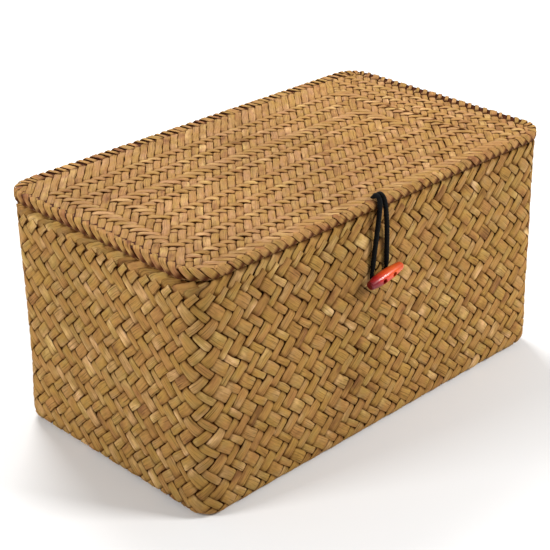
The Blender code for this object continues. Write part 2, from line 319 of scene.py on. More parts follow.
class Weave:
    """A bias weave: rising strands keep one v, falling strands keep one u, in cells of the lattice.
    Even strands are broader by the part of the breadth given in uneven, for rising and for falling
    strands, and odd ones narrower. cover says how much of a cell's breadth each way's strands take."""

    def __init__(
        self,
        surface,
        cell,
        rule,
        origin=0.0,
        squeeze=1.0,
        per_cell=4,
        relief=RELIEF,
        cover=(0.95, 0.95),
        uneven=(0.0, 0.0),
        inside=None,
        narrow=None,
        drift=None,
        arched=False,
        seed=1,
    ):
        self.surface, self.cell, self.rule = surface, cell, rule
        self.origin, self.squeeze, self.per_cell = origin, squeeze, per_cell
        self.relief, self.covers, self.uneven = relief, cover, uneven
        self.inside, self.narrow, self.drift, self.arched = inside, narrow, drift, arched
        self.rng = np.random.default_rng(seed)

    def place(self, u, v):
        half_diagonal = self.cell / math.sqrt(2)
        s, t = (u + v) * half_diagonal, self.origin + (u - v) * half_diagonal * self.squeeze
        if self.drift is not None:
            more_s, more_t = self.drift(s, t)
            s, t = s + more_s, t + more_t
        return s, t

    def cells_at(self, level):
        """How many cells above the lattice's own zero line a level is."""
        return (level - self.origin) / self.squeeze * math.sqrt(2) / self.cell

    def strand(self, bundle, rising, index, low, high):
        rng = self.rng
        first = math.ceil(low * self.per_cell)
        last = math.floor(high * self.per_cell)
        p = (np.arange(first, last) + 0.5) / self.per_cell
        own, crossed = self.uneven if rising else self.uneven[::-1]
        sign = 1 if index % 2 == 0 else -1
        # The crossed strands' uneven breadths move the places where this one dips
        along = p - crossed / 2 * np.cos(math.pi * p)
        # Painted light: falling strands get somewhat lighter tones than rising ones
        number = 0.85 * rng.random() + (0.0 if rising else 0.15)
        breadth = 1 + own * sign + rng.normal(0, 0.03) + wander(rng, p, 0.09, (0.19, 0.43))
        lift = sign * math.copysign(PROUD, own) * (own != 0) + rng.normal(0, 0.06) * self.relief
        aside = wander(rng, p, 0.09, (0.11, 0.31))
        roll = wander(rng, p, 0.22 * MM, (0.23, 0.41))
        if self.inside is not None and len(p) > 2:
            u, v = (along, index + 0.5 + 0 * p) if rising else (index + 0.5 + 0 * p, along)
            kept = self.inside(*self.place(u, v))
            p, along, aside, breadth, roll = (values[kept] for values in (p, along, aside, breadth, roll))
        if len(p) < 4:
            return
        cell = np.floor(p).astype(int)
        over = self.rule(cell, index) if rising else ~self.rule(index, cell)
        side = np.where(over, 1.0, -1.0)
        before, after = np.roll(side, 1), np.roll(side, -1)
        before[0], after[-1] = side[0], side[-1]
        height = 0.78 * side + 0.11 * (before + after)
        if self.arched:
            reach_out = self.per_cell
            arch = reach_out - np.abs(np.arange(1 - reach_out, reach_out))
            height = np.convolve(np.pad(side, reach_out - 1, mode="edge"), arch / arch.sum(), mode="valid")
        reach = 0.40 * side + 0.30 * (before + after)
        reach = 0.6 * reach + 0.2 * (np.roll(reach, 1) + np.roll(reach, -1))
        u, v = (along, index + 0.5 + aside) if rising else (index + 0.5 + aside, along)
        s, t = self.place(u, v)
        light = smooth_step((reach + 0.55) / 1.4)
        cover = self.covers[0 if rising else 1]
        half = self.cell / 2 * cover * breadth * (0.80 + 0.20 * light)
        if self.narrow is not None:
            half = half * self.narrow(s, t)
            # Where strips narrow they are painted darker too: painted shade in the gaps
            light = light * smooth_step(1.4 * self.narrow(s, t))
        lay_strip(bundle, self.surface, s, t, half, height * self.relief + lift, roll, light, number)


# ---------------------------------------------------------------- materials


class Nodes:
    """Short calls for building a material's node tree."""

    def __init__(self, name):
        self.material = bpy.data.materials.new(name)
        self.material.use_nodes = True
        self.tree = self.material.node_tree
        self.shader = self.tree.nodes["Principled BSDF"]

    def add(self, kind, inputs=(), **settings):
        node = self.tree.nodes.new("ShaderNode" + kind)
        for key, value in settings.items():
            setattr(node, key, value)
        for key, value in dict(inputs).items():
            self.put(node.inputs[key], value)
        return node

    def put(self, socket, value):
        if isinstance(value, bpy.types.NodeSocket):
            self.tree.links.new(value, socket)
        else:
            socket.default_value = value

    def math(self, operation, a, b=0.0):
        return self.add("Math", {0: a, 1: b}, operation=operation).outputs[0]

    def times(self, a, b):
        return self.math("MULTIPLY", a, b)

    def span(self, value, low, high, to_low, to_high):
        return self.add("MapRange", {0: value, 1: low, 2: high, 3: to_low, 4: to_high}).outputs[0]

    def set(self, values):
        """Uniform values, set on the shader's own sockets."""
        for name, value in values.items():
            self.shader.inputs[name].default_value = value

    def noise(self, vector, detail=2.0, roughness=0.5):
        inputs = {"Vector": vector, "Scale": 1.0, "Detail": detail, "Roughness": roughness}
        return self.add("TexNoise", inputs).outputs["Fac"]

    def combine(self, x, y, z):
        return self.add("CombineXYZ", {0: x, 1: y, 2: z}).outputs[0]

    def ramp(self, value, stops):
        node = self.add("ValToRGB", {0: value})
        elements = node.color_ramp.elements
        while len(elements) < len(stops):
            elements.new(0.5)
        for element, (place, colour) in zip(elements, stops):
            element.position = place
            element.color = (*colour, 1)
        return node.outputs[0]

    def mix(self, factor, a, b, blend="MIX"):
        node = self.add("Mix", data_type="RGBA", blend_type=blend)
        for socket, value in ((node.inputs[0], factor), (node.inputs[6], a), (node.inputs[7], b)):
            self.put(socket, value)
        return node.outputs[2]

    def tint(self, colour, factor):
        """A colour made lighter or darker by a number."""
        grey = self.add("CombineColor", {0: factor, 1: factor, 2: factor}).outputs[0]
        return self.mix(1.0, colour, grey, "MULTIPLY")

    def bump(self, height, strength, distance):
        node = self.add("Bump", {"Height": height, "Strength": strength, "Distance": distance})
        self.put(self.shader.inputs["Normal"], node.outputs[0])


GREENISH = (0.98, 1.02, 0.90, 1)
PINKISH = (1.02, 0.98, 1.09, 1)


def seagrass(name, tones, shadow, roughness=0.62, fade=None, edge_light=0.15):
    """Dried strips: each has its own tone, with fibres along it, painted shade where it dips under another
    and along its edges, and fade painting light that changes along x.
    """
    n = Nodes(name)
    strand = n.add("Attribute", attribute_name="strand").outputs["Vector"]
    shade = n.add("Attribute", attribute_name="shade").outputs["Fac"]
    parts = n.add("SeparateXYZ", {0: strand}).outputs
    along, across, number = parts[0], parts[1], parts[2]

    def grain(lengthwise, crosswise, shift, detail, roughness=0.5):
        """Noise drawn out along the strip, different on each strip."""
        return n.noise(
            n.combine(
                n.times(along, lengthwise),
                n.times(across, crosswise),
                n.times(number, shift),
            ),
            detail,
            roughness,
        )

    patches = grain(62, 0.3, 191, 3.0)
    fibres = grain(110, 4.2, 83, 4.0, 0.62)
    splits = grain(38, 6.0, 337, 2.0)
    ragged_edge_shade = grain(260, 1.5, 129, 2.0)
    tone = n.math("ADD", n.times(number, 0.42), n.span(patches, 0.3, 0.7, -0.05, 0.65))
    colour = n.ramp(tone, list(zip(TONE_STOPS, tones)))
    hue = n.mix(n.span(grain(47, 0.3, 457, 2.0), 0.38, 0.62, 0.0, 1.0), GREENISH, PINKISH)
    colour = n.mix(1.0, colour, hue, "MULTIPLY")
    place = n.add("TexCoord").outputs["Object"]
    broad = n.add("TexNoise", {"Vector": place, "Scale": 9.0, "Detail": 2.0}).outputs["Fac"]
    light = n.times(n.span(fibres, 0.28, 0.72, 0.74, 1.20), n.span(broad, 0.3, 0.7, 0.88, 1.10))
    light = n.times(light, n.span(splits, 0.60, 0.66, 1.0, 0.48))
    # Painted light: the colour grows lighter or darker along x
    if fade is not None:
        across_x = n.add("SeparateXYZ", {0: place}).outputs[0]
        light = n.times(light, n.span(across_x, -0.16, 0.16, *fade))
    colour = n.tint(colour, light)
    # Painted shade: dark along the strips' edges, with a ragged width
    edge = n.math("ADD", n.math("ABSOLUTE", across), n.span(ragged_edge_shade, 0.3, 0.7, -0.07, 0.07))
    lit = n.times(n.span(edge, 0.86, 1.02, 1.0, edge_light), n.span(shade, 0.0, 0.9, 0.0, 1.0))
    lit = n.math("POWER", lit, 1.6)
    colour = n.mix(lit, shadow, colour)
    n.put(n.shader.inputs["Base Color"], colour)
    n.set({"Roughness": roughness, "Specular IOR Level": 0.03})
    n.bump(fibres, 0.5, 0.0004)
    return n.material


def cord_material(name, colour, roughness):
    n = Nodes(name)
    strand = n.add("Attribute", attribute_name="strand").outputs["Vector"]
    shade = n.add("Attribute", attribute_name="shade").outputs["Fac"]
    along = n.add("SeparateXYZ", {0: strand}).outputs
    fuzz_place = n.combine(n.times(along[0], 2600), n.times(along[1], 9), along[2])
    fuzz = n.noise(fuzz_place, 3.0)
    # Painted light and shade: lighter on the ribs' tops and darker between them
    light = n.times(n.span(fuzz, 0.3, 0.7, 0.6, 1.7), n.span(shade, 0, 1, 0.4, 1.3))
    n.put(n.shader.inputs["Base Color"], n.tint((*colour, 1), light))
    n.set({"Roughness": roughness, "Specular IOR Level": 0.12})
    n.bump(fuzz, 0.3, 0.0001)
    return n.material


def lacquer_material():
    """Clear red lacquer over turned wood, with painted shade: deeper red towards the cut end and low down."""
    n = Nodes("toggle_lacquer")
    place = n.add("TexCoord").outputs["Object"]
    parts = n.add("SeparateXYZ", {0: place}).outputs
    middle = (TOGGLE_LOW + TOGGLE_HIGH) / 2
    half = (TOGGLE_HIGH.x - TOGGLE_LOW.x) / 2
    along = n.span(parts[0], middle.x - half, middle.x + half, 0.0, 1.0)
    # Painted shade: darker low down on the toggle
    low = n.span(parts[2], middle.z - 0.004, middle.z + 0.004, -0.28, 0.16)
    grain_place = n.combine(
        n.times(parts[0], 160),
        n.times(parts[1], 1400),
        n.times(parts[2], 1400),
    )
    grain = n.noise(grain_place, 3.0, 0.6)
    where = n.math("ADD", n.math("ADD", along, low), n.span(grain, 0.3, 0.7, -0.09, 0.09))
    stops = (
        (0.0, (0.16, 0.004, 0.008)),
        (0.22, (0.38, 0.012, 0.012)),
        (0.45, (0.60, 0.050, 0.012)),
        (0.8, (0.66, 0.095, 0.012)),
        (1.0, (0.52, 0.060, 0.010)),
    )
    n.put(n.shader.inputs["Base Color"], n.ramp(where, stops))
    n.set({"Roughness": 0.30, "Specular IOR Level": 0.30, "Coat Weight": 0.22, "Coat Roughness": 0.06})
    n.bump(grain, 0.12, 0.0001)
    return n.material


# Tones from the darkest strip to the lightest, at these places of a ramp
TONE_STOPS = (0.0, 0.2, 0.45, 0.65, 0.85, 1.0)
BODY_TONES = (
    (0.190, 0.087, 0.029),
    (0.285, 0.143, 0.042),
    (0.350, 0.188, 0.053),
    (0.330, 0.194, 0.064),
    (0.480, 0.286, 0.108),
    (0.620, 0.398, 0.187),
)
LID_TONES = (
    (0.184, 0.082, 0.031),
    (0.275, 0.137, 0.046),
    (0.341, 0.184, 0.059),
    (0.336, 0.181, 0.074),
    (0.444, 0.259, 0.100),
    (0.541, 0.339, 0.143),
)
BORDER_TONES = (
    (0.163, 0.061, 0.030),
    (0.288, 0.131, 0.048),
    (0.384, 0.205, 0.065),
    (0.317, 0.181, 0.057),
    (0.442, 0.236, 0.088),
    (0.499, 0.315, 0.131),
)
body_grass = seagrass("body_seagrass", BODY_TONES, (0.060, 0.016, 0.001, 1), edge_light=0.30)
lining_grass = seagrass("lining_seagrass", BODY_TONES, (0.035, 0.012, 0.003, 1), 0.68)
LINING_GRASSES = (lining_grass, lining_grass)
LID_SHADOW = (0.085, 0.022, 0.002, 1)
# Painted light: the lid is lighter towards its right end, as it looks in the photograph
LID_PAINTED_LIGHT = (0.98, 1.18)
lid_grass = seagrass("lid_seagrass", LID_TONES, LID_SHADOW, 0.55, fade=LID_PAINTED_LIGHT)
# A copy whose edges are painted less dark, for the lid's rising strands: painted light along their edges
lid_grass_lit_edges = seagrass("lid_seagrass_lit_edges", LID_TONES, LID_SHADOW, 0.55, LID_PAINTED_LIGHT, edge_light=0.50)
border_grass = seagrass("border_seagrass", BORDER_TONES, (0.050, 0.011, 0.002, 1), 0.58)
black_cord = cord_material("black_cord", (0.004, 0.004, 0.004), 0.9)
dark_thread = cord_material("dark_thread", (0.020, 0.012, 0.010), 0.7)
lacquer = lacquer_material()


# ---------------------------------------------------------------- the body's weave

body_outline = Outline(BODY_HIGH.x, BODY_HIGH.y, BODY_CORNER_RADIUS)
WALL_CELL = body_outline.length / STRANDS_ROUND / math.sqrt(2)


def round_distance(s, centre, length):
    """How far s is from a centre, the short way round."""
    return np.abs(np.mod(s - centre + length / 2, length) - length / 2)


def body_wobble(s, z):
    """Hand-made unevenness of the walls, and the bottom corners' slight bulge."""
    turn = s / body_outline.length * 2 * math.pi
    uneven = (
        np.sin(3 * turn + 0.8 + 9 * z)
        + 0.7 * np.sin(7 * turn + 2.1 - 14 * z)
        + 0.5 * np.sin(13 * turn + 31 * z)
    )
    fade = smooth_step((z - 1 * MM) / (14 * MM)) * smooth_step((142 * MM - z) / (60 * MM))
    bulge = 0
    for corner in body_outline.corners:
        near = round_distance(s, corner, body_outline.length)
        bulge = bulge + np.exp(-((near / (26 * MM)) ** 2)) * np.exp(-(((z - 14 * MM) / (20 * MM)) ** 2))
    return 0.38 * MM * uneven * fade + 1.2 * MM * bulge * smooth_step(z / (8 * MM))


# From under the base, round its edge and up the wall
UNDER_RUN = 20 * MM
# Keeps the broad strips at the corners above the floor
UNDER_LIFT = 0.45 * MM
wall_section = Section(
    -BASE_EDGE_RADIUS - UNDER_RUN,
    SINK + UNDER_LIFT,
    0.0,
    [
        (UNDER_RUN, 0.0),
        ((BASE_EDGE_RADIUS - SINK) * math.pi / 2, math.pi / 2),
        (BODY_HIGH.z, 0.0),
    ],
)
WALL_FOOT = wall_section.parts[2][0]
# A height z on the wall is at t = T_OF_Z0 + z
T_OF_Z0 = WALL_FOOT - BASE_EDGE_RADIUS - UNDER_LIFT


def twill(i, j):
    """Two over, two under, in level rows; true where the rising strand is on top."""
    return np.mod(i - j + 1, 4) < 2


# How far the hand-woven lattice has drifted round the body and up it at the corners, in millimetres:
# front right, back right, back left and front left
DRIFT_ROUND = (1.2, -1.0, -3.6, -5.6)
DRIFT_UP = (4.4, 2.0, -1.2, -2.3)
DRIFT_LEAN = -2.4 * MM


def wall_drift(s, t):
    round_by = corner_blend(s, DRIFT_ROUND) * MM + DRIFT_LEAN * (t - T_OF_Z0 - 80 * MM) / (80 * MM)
    return round_by, corner_blend(s, DRIFT_UP) * MM


def corner_blend(s, values):
    """Values at the body's corners, with even changes between them."""
    places = np.array(body_outline.corners)
    places = np.concatenate((places[-1:] - body_outline.length, places, places[:1] + body_outline.length))
    values = (values[-1], *values, values[0])
    return np.interp(np.mod(s, body_outline.length), places, values)


wall_surface = swept(body_outline, wall_section, body_wobble)
# Rough sizes that deal the walls' strands out to the near pieces (the front and left walls) and the far
WALL_HEIGHT = 160 * MM
LEFT_WALL = 175 * MM


def build_walls():
    def narrow(s, t):
        """Just below the rim the strands draw together and leave small gaps."""
        return 1 - 0.22 * smooth_step((t - T_OF_Z0 - 143 * MM) / (4 * MM)) + 0 * s

    weave = Weave(
        wall_surface,
        WALL_CELL,
        twill,
        T_OF_Z0 + FIRST_ROW,
        WALL_SQUEEZE,
        uneven=UNEVEN,
        narrow=narrow,
        drift=wall_drift,
        seed=11,
    )
    low = weave.cells_at(UNDER_RUN - 7 * MM)
    high = weave.cells_at(T_OF_Z0 + 152.0 * MM)
    bundles = {}
    for rising in (True, False):
        for index in range(STRANDS_ROUND):
            middle = index / STRANDS_ROUND * body_outline.length
            # A rising strand's middle lies further round than its foot, and a falling one's less far
            middle += (0.5 if rising else -0.5) * WALL_HEIGHT
            near_side = np.mod(middle + LEFT_WALL, body_outline.length) < body_outline.length / 2
            key = ("rising" if rising else "falling", "near" if near_side else "far", 1 + index % 2)
            bundle = bundles.setdefault(key, Bundle())
            if rising:
                weave.strand(bundle, True, index, index + 0.5 + low, index + 0.5 + high)
            else:
                weave.strand(bundle, False, index, index + 0.5 - high, index + 0.5 - low)
    for (way, side, group), bundle in bundles.items():
        bundle.make(
            f"body_weave_{way}_{side}_{group}", body_grass, "basket", "body_weave", "body_outer_weave"
        )


def rounded_inside(half_x, half_y, radius):
    """A test for points inside a rounded rectangle."""

    def inside(x, y):
        past_x = np.maximum(np.abs(x) - (half_x - radius), 0)
        past_y = np.maximum(np.abs(y) - (half_y - radius), 0)
        return np.hypot(past_x, past_y) < radius

    return inside


def lay_flat(weave, bundles, half_x, half_y):
    """All strands of a flat weave, dealt out to the bundles for rising and falling strands."""
    reach = math.ceil((half_x + half_y) / weave.cell) + 2
    for rising in (True, False):
        for index in range(-reach, reach):
            weave.strand(bundles[0 if rising else 1], rising, index, -reach, reach)


def build_base():
    edge = BASE_EDGE_RADIUS + 0.5 * MM
    half_x, half_y = BODY_HIGH.x - edge, BODY_HIGH.y - edge
    surface = flat(SINK + 0.3 * MM, -1)
    inside = rounded_inside(half_x, half_y, BODY_CORNER_RADIUS - edge)
    weave = Weave(surface, WALL_CELL, twill, per_cell=3, inside=inside, cover=(0.94, 0.94), seed=23)
    bundles = [Bundle(), Bundle()]
    lay_flat(weave, bundles, half_x, half_y)
    make_pair(bundles, "base_weave", (body_grass, body_grass), "basket", "body_weave", "body_outer_weave")


def build_lining():
    """The inner layer: walls and floor facing in, with a dark band and slab of painted shade behind them."""
    inset = WALL_DEPTH - SINK
    floor_z = LINING_LOW.z + WALL_DEPTH / 2 - SINK
    corner = 4 * MM
    top = BODY_HIGH.z + 1 * MM
    section = Section(
        -inset,
        top,
        -math.pi / 2,
        [(top - floor_z - corner, 0.0), (corner * math.pi / 2, -math.pi / 2), (20 * MM, 0.0)],
    )
    weave = Weave(
        swept(body_outline, section),
        WALL_CELL,
        twill,
        5 * MM,
        WALL_SQUEEZE,
        per_cell=3,
        relief=INNER_RELIEF,
        seed=37,
    )
    low, high = weave.cells_at(0.0), weave.cells_at(section.length - 16 * MM)
    bundles = [Bundle(), Bundle()]
    for index in range(STRANDS_ROUND):
        weave.strand(bundles[0], True, index, index + 0.5 + low, index + 0.5 + high)
        weave.strand(bundles[1], False, index, index + 0.5 - high, index + 0.5 - low)
    # A dark band behind the lining's walls: painted shade between the layers
    bundles[0].band(body_outline, (2.35 * MM, 2.6 * MM), (2.6 * MM, BODY_HIGH.z + 4 * MM))
    make_pair(bundles, "lining_weave", LINING_GRASSES, "basket", "lining_weave", "body_lining_weave")

    edge = WALL_DEPTH + 2.5 * MM
    half_x, half_y = BODY_HIGH.x - edge, BODY_HIGH.y - edge
    inside = rounded_inside(half_x, half_y, BODY_CORNER_RADIUS - edge)
    floor = Weave(
        flat(floor_z - 0.2 * MM, 1), WALL_CELL, twill, per_cell=3, relief=INNER_RELIEF, inside=inside, seed=41
    )
    bundles = [Bundle(), Bundle()]
    lay_flat(floor, bundles, half_x, half_y)
    # A dark slab under the lining's floor: painted shade between the layers
    bundles[0].slab(BODY_HIGH.x - 6 * MM, BODY_HIGH.y - 6 * MM, 2.2 * MM, 2.6 * MM)
    make_pair(bundles, "lining_floor", LINING_GRASSES, "basket", "lining_weave", "body_lining_weave")


RIM_SINK = 0.85 * MM
RIM_TURN = (WALL_DEPTH - 2 * RIM_SINK) / 2
# The lean of the rim's strips along the front, and how much less it is on the other sides, in degrees
FRONT_LEAN = 44
LEAN_CHANGE = 26


def rim_lean(s):
    """How steeply the rim's strips lean, in degrees: steep along the front, shallow on the other sides."""
    along_front = round_distance(s, body_outline.straights[0] / 2, body_outline.length)
    return FRONT_LEAN - LEAN_CHANGE * smooth_step((along_front - 128 * MM) / (30 * MM))


def build_rim():
    """The strands fold over the rim. Each leans along the rim over the one before it, like a leaf."""
    start = 145.5 * MM
    crest = RIM_HIGH.z - RIM_SINK - RIM_TURN
    section = Section(
        -RIM_SINK,
        start,
        math.pi / 2,
        [(crest - start, 0.0), (RIM_TURN * math.pi, math.pi), (crest - start, 0.0)],
    )
    surface = swept(body_outline, section)
    rng = np.random.default_rng(53)
    pitch = body_outline.length / STRANDS_ROUND
    t = np.concatenate(
        (np.linspace(0, crest - start, 16)[:-1], np.linspace(crest - start, section.length - 1.0 * MM, 16))
    )
    bundles = [Bundle(), Bundle()]
    foot = (start - FIRST_ROW) / WALL_SQUEEZE
    steep = math.radians(58)
    for index in range(STRANDS_ROUND):
        on_top = index % 2 == 0
        s_foot = np.array([index * pitch + pitch / 2 + foot])
        shallow = float(rim_lean(s_foot)[0])
        clawed = (FRONT_LEAN - shallow) / LEAN_CHANGE
        shallow = math.radians(shallow + rng.normal(0, 3))
        lean = (
            steep
            - (steep - shallow) * smooth_step((t - 1.0 * MM) / (8.5 * MM))
            + math.radians(40) * smooth_step((t - (crest - start) + 0.4 * MM) / (2.0 * MM))
        )
        steps = np.diff(t, prepend=t[0])
        s_foot = s_foot + wall_drift(s_foot, np.array([T_OF_Z0 + start]))[0]
        s = s_foot + np.cumsum(steps / np.tan(lean)) + rng.normal(0, 0.4) * MM
        half = (1.5 + 4.1 * np.sin(lean) + rng.normal(0, 0.2)) * MM * (1.0 if on_top else 0.94)
        half = half * (0.72 + 0.28 * smooth_step(t / (4.0 * MM)))
        rise = smooth_step((t - 0.5 * MM) / (2.5 * MM))
        fall = smooth_step((section.length - t) / (5 * MM))
        height = (-0.35 + (0.50 + 0.30 * clawed if on_top else 0.22) * rise * fall + rng.normal(0, 0.04)) * MM
        tilt = (0.10 + 0.50 * rise * fall) * MM
        # Painted shade: a dark line along the inner side of the rim's top, under the lid
        groove_shade = 1 - 0.70 * np.exp(-(((t - (crest - start) - 1.2 * MM) / (1.6 * MM)) ** 2))
        # Painted shade: darker at the strips' foot and end, and on the leaves that lie under others
        light = (0.25 + 0.75 * rise * (0.5 + 0.5 * fall)) * (1.0 if on_top else 0.92 - 0.22 * clawed) * groove_shade
        lay_strip(
            bundles[index % 2], surface, s, t, half, height, tilt, light, rng.random(), 0.42 * MM
        )
    for number, bundle in enumerate(bundles, 1):
        bundle.make(f"rim_fold_{number}", body_grass, "basket", "body_weave", "body_rim_fold")


# ---------------------------------------------------------------- the lid

LID_CELL = 4.60 * MM
LID_ROW_STEP = 3.505 * MM
# Rows of the lid's top from front to back: the way of the strands on top, and how many cells high
LID_ROWS = (
    "/2 \\3 /2 \\2 /3 \\2 /3 \\2 /3 \\2 /4 \\2 /2 \\3 /3 \\2 /3 \\2 /6 \\2 /2"
)
LID_FRONT_ROW = -27


def lid_row_table():
    """For each step of i - j from the front row on, whether the rising strand is on top."""
    rows = []
    for word in LID_ROWS.split():
        rows += [word[0] == "/"] * int(word[1:])
    return np.array(rows)


def build_lid_top():
    rows = lid_row_table()
    inset = 1.9 * MM
    half_x, half_y = BORDER_HIGH.x - inset, BORDER_HIGH.y - inset
    squeeze = LID_ROW_STEP / (LID_CELL / math.sqrt(2))

    def rule(i, j):
        """Rows in the middle, columns towards both ends, and a plain weave at the far right."""
        x = (i + j + 1) * LID_CELL / math.sqrt(2)
        y = (i - j) * LID_ROW_STEP
        row = rows[np.clip(i - j - LID_FRONT_ROW, 0, len(rows) - 1)]
        column = np.mod(i + j, 6) < 3
        left_end = x < -half_x + 46 * MM - 0.55 * np.abs(y)
        right_end = (x > 86 * MM + 0.45 * np.abs(y)) & (x < 122 * MM)
        floats = np.mod(i + j, 4) < 2
        far_right = x >= 122 * MM
        return np.where(far_right, floats, np.where(left_end | right_end, column, row)).astype(bool)

    def narrow(x, y):
        """Gaps where strips end: a line of slits near the right end, where the strips are also painted darker
        as shade.
        """
        slit = np.exp(-(((x - 116 * MM) / (3.0 * MM)) ** 4))
        beat = 0.5 + 0.5 * np.cos((y + 10 * MM) / (8.2 * MM) * 2 * math.pi)
        span = smooth_step((y + 58 * MM) / (6 * MM)) * smooth_step((40 * MM - y) / (6 * MM))
        return 1 - 0.80 * slit * beat * span

    within = rounded_inside(half_x, half_y, LID_CORNER_RADIUS - inset)

    def inside(x, y):
        """The weave stops short of the back and the right, where the border's strips lie open."""
        return within(x, y) & (y < BORDER_HIGH.y - 8.0 * MM) & (x < BORDER_HIGH.x - 6.5 * MM)

    surface = flat(LID_TOP_HIGH.z - 0.42 * MM, 1, lid_sag)
    weave = Weave(
        surface,
        LID_CELL,
        rule,
        squeeze=squeeze,
        relief=0.95 * MM,
        cover=(1.03, 0.95),
        arched=True,
        inside=inside,
        narrow=narrow,
        seed=61,
    )
    bundles = [Bundle(), Bundle()]
    lay_flat(weave, bundles, half_x, half_y)
    # A dark slab between the top weave and the underside: painted shade seen through the gaps
    dark_slab_levels = (UNDERSIDE_HIGH.z - 0.4 * MM, UNDERSIDE_HIGH.z + 0.1 * MM)
    bundles[1].slab(BORDER_HIGH.x - 9 * MM, BORDER_HIGH.y - 9 * MM, *dark_slab_levels)
    make_pair(bundles, "lid_weave", (lid_grass_lit_edges, lid_grass), "lid", "lid_weave", "lid_top_weave")


def lid_sag(x, y):
    """The lid isn't quite flat."""
    return 0.35 * MM * np.sin(x * 21 + 0.6) * np.cos(y * 17)


def build_underside():
    inset = 3.0 * MM
    half_x, half_y = BORDER_HIGH.x - inset, BORDER_HIGH.y - inset
    weave = Weave(
        flat(UNDERSIDE_LOW.z + 0.2 * MM, -1),
        6.2 * MM,
        twill,
        per_cell=3,
        relief=INNER_RELIEF,
        inside=rounded_inside(half_x, half_y, LID_CORNER_RADIUS - inset),
        seed=71,
    )
    bundles = [Bundle(), Bundle()]
    lay_flat(weave, bundles, half_x, half_y)
    make_pair(bundles, "underside_weave", LINING_GRASSES, "lid", "lining_weave", "lid_underside_weave")


BORDER_SINK = 0.45 * MM
BORDER_TURN = 2.0 * MM
BORDER_LEG = 9.0 * MM
lid_outline = Outline(BORDER_HIGH.x, BORDER_HIGH.y, LID_CORNER_RADIUS)
# Per side, front, right, back and left: how far a strip runs along the edge for each millimetre round it,
# the strips' pitch in millimetres, how much of the pitch a strip covers, and how many millimetres of it
# lie on the lid's top
BORDER_SIDES = ((1.0, 7.1, 1.06, 1.2), (0.7, 6.8, 0.52, 7.5), (0.2, 6.0, 0.44, 9.0), (1.2, 7.6, 0.88, 2.2))


def side_blend(s, values):
    """One value a side, with smooth changes round the corners."""
    total = np.zeros_like(s)
    for side in range(4):
        end = lid_outline.corners[side]
        change = smooth_step((s - end + 16 * MM) / (32 * MM))
        total = total + (values[(side + 1) % 4] - values[side]) * change
    return values[0] + total


def build_border():
    """Strips wrapped round the lid's edge, from its underside over the edge to its top."""
    low, high = BORDER_LOW.z + BORDER_SINK, BORDER_HIGH.z - BORDER_SINK
    side = high - low - 2 * BORDER_TURN
    section = Section(
        -BORDER_SINK - BORDER_TURN - BORDER_LEG + 2 * MM,
        low,
        0.0,
        [
            (BORDER_LEG - 2 * MM, 0.0),
            (BORDER_TURN * math.pi / 2, math.pi / 2),
            (side, 0.0),
            (BORDER_TURN * math.pi / 2, math.pi / 2),
            (BORDER_LEG, 0.0),
        ],
    )
    surface = swept(lid_outline, section)
    rng = np.random.default_rng(83)
    bundles = [Bundle(), Bundle()]
    s_start, index = 0.0, 0
    while s_start < lid_outline.length - 3 * MM:
        lean, pitch, cover, leg = (
            float(side_blend(np.array([s_start]), values)[0]) for values in zip(*BORDER_SIDES)
        )
        lean += rng.normal(0, 0.06)
        cover += rng.normal(0, 0.05) + (0.40 if cover < 0.75 and index % 4 == 0 else 0.0)
        length = section.length - BORDER_LEG + (leg + rng.normal(0, 0.4)) * MM
        t = np.linspace(0, length, 34)
        s = s_start - lean * (t - (section.length - BORDER_LEG))
        half = np.full_like(t, pitch * MM / math.hypot(1, lean) * cover / 2)
        inner_end = (1.0 if leg < 3 else 3.0) * MM
        end = smooth_step((length - t) / inner_end) * smooth_step(t / (3.0 * MM))
        height = (-0.45 + 0.50 * end + rng.normal(0, 0.05)) * MM
        # Painted shade: a dark line along the lid's lower edge, where it meets the rim
        seam_shade = 1 - 0.92 * np.exp(-(((t - 9.4 * MM) / (1.7 * MM)) ** 2))
        # Painted shade: darker towards both ends of each strip
        light = (0.35 + 0.65 * end) * seam_shade
        tilt = 0.22 * MM * (1 if cover > 0.9 else 0.4)
        number = rng.random() * (0.35 if lean > 1.1 else 1.0)
        lay_strip(bundles[index % 2], surface, s, t, half, height, tilt, light, number, 0.5 * MM)
        s_start += pitch * MM * (1 + rng.normal(0, 0.05))
        index += 1
    # A dark band inside the lid's edge: painted shade behind the border's strips
    bundles[0].band(
        lid_outline, (1.25 * MM, 9.5 * MM), (BORDER_LOW.z + 1.3 * MM, BORDER_HIGH.z - 1.35 * MM), 0.05
    )
    for number, bundle in enumerate(bundles, 1):
        bundle.make(f"lid_border_{number}", border_grass, "lid", "border_weave", "lid_border_fold")


# ---------------------------------------------------------------- cords and toggle

TOGGLE_CENTRE = Vector((-0.0093, -0.0957, 0.1147))
TOGGLE_TILT = math.radians(9)
TOGGLE_HOLE_SPACING = 0.0094
TOGGLE_HOLE_RADIUS = 0.0018
# Along the toggle from its middle: its cut end, its thickest place, where the nose begins, and the tip
CUT_END, THICKEST, NOSE, TIP = -0.0150, -0.0030, 0.0120, 0.0155
CUT_RADIUS, THICKEST_RADIUS, NOSE_RADIUS = 0.0027, 0.0041, 0.0030
CUT_ROUNDING = 0.0010
LOOP_CORD_RADIUS = 0.00125
BRAID_TWIST = 0.0042
# How deep the ribs of a cord are, as a part of its radius
CORD_RIBS = 0.16
# Between the lid and the toggle the elastic's radius is drawn this much larger, as it looks in the photograph
LOOP_SWELL = 0.00038
SLACK_FROM_Z, SLACK_RISE = 0.1165, 0.006
SLACK_FROM_Y, SLACK_RUN = -0.0865, 0.002
LOOP_HOLE_TOP = Vector((-0.0115, -0.0870, 0.1660))
LOOP_KNOT_CENTRE = Vector((-0.0115, -0.0790, 0.1535))
THREAD_RADIUS = 0.0005
TIE_RING_RADIUS = 0.0046
TIE_CORD_RADIUS = 0.0009
TIE_SPACING = 0.200
HINGE_POINT = Vector((0, 0.091, 0.15785))
INNER_FACE_Y = BODY_LOW.y + WALL_DEPTH

